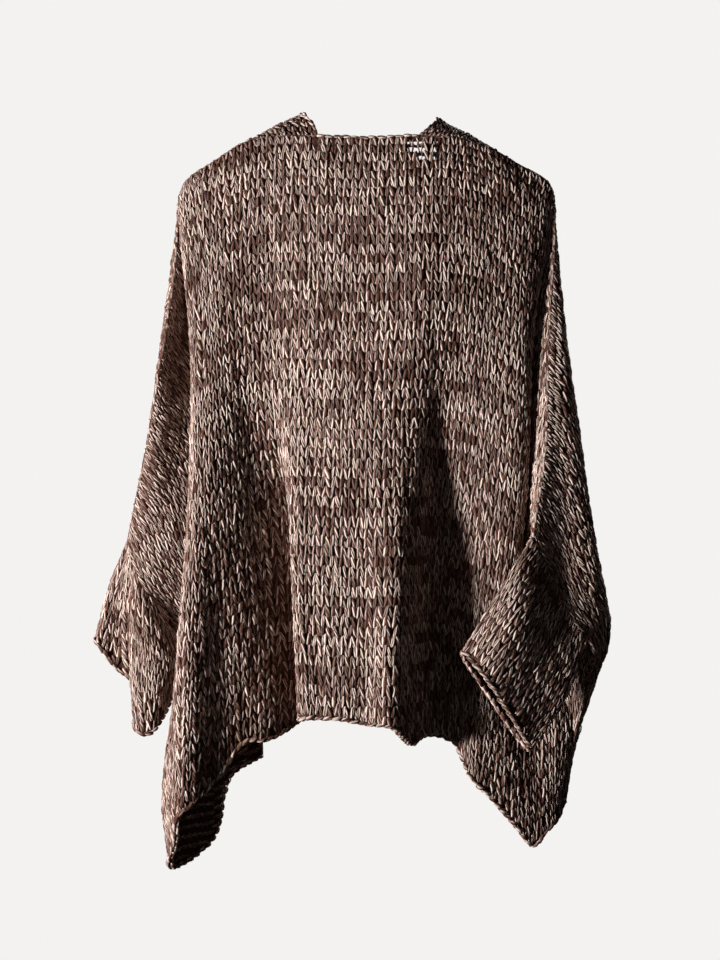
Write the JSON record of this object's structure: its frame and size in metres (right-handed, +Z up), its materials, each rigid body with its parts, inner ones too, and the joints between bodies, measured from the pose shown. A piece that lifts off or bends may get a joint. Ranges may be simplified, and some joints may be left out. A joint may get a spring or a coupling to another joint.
{
  "type": "cardigan",
  "caption": "Oversized open-front cardigan, chunky marled hand knit, wide drop-shoulder panels draping to pointed side hems and short loose sleeve tubes, filled out as worn.",
  "frame": {"origin": "middle of the neck opening, at the height of the shoulder seam, where the wearer's shoulders carry the garment", "axes": "+Z up, the garment's front faces -Y and its back +Y, +X is the wearer's left"},
  "size_m": [0.5561, 0.2962, 0.8121],
  "materials": {
    "back": "thick marled wool yarn, dark brown with cream flecks, matt",
    "front_left": "thick marled wool yarn, dark brown with cream flecks, matt",
    "front_right": "thick marled wool yarn, dark brown with cream flecks, matt",
    "sleeve_left": "thick marled wool yarn, dark brown with cream flecks, matt",
    "sleeve_right": "thick marled wool yarn, dark brown with cream flecks, matt"
  },
  "bodies": {
    "root": {"back": "back", "front_left": "front_left", "front_right": "front_right", "sleeve_left": "sleeve_left", "sleeve_right": "sleeve_right"}
  },
  "joints": []
}
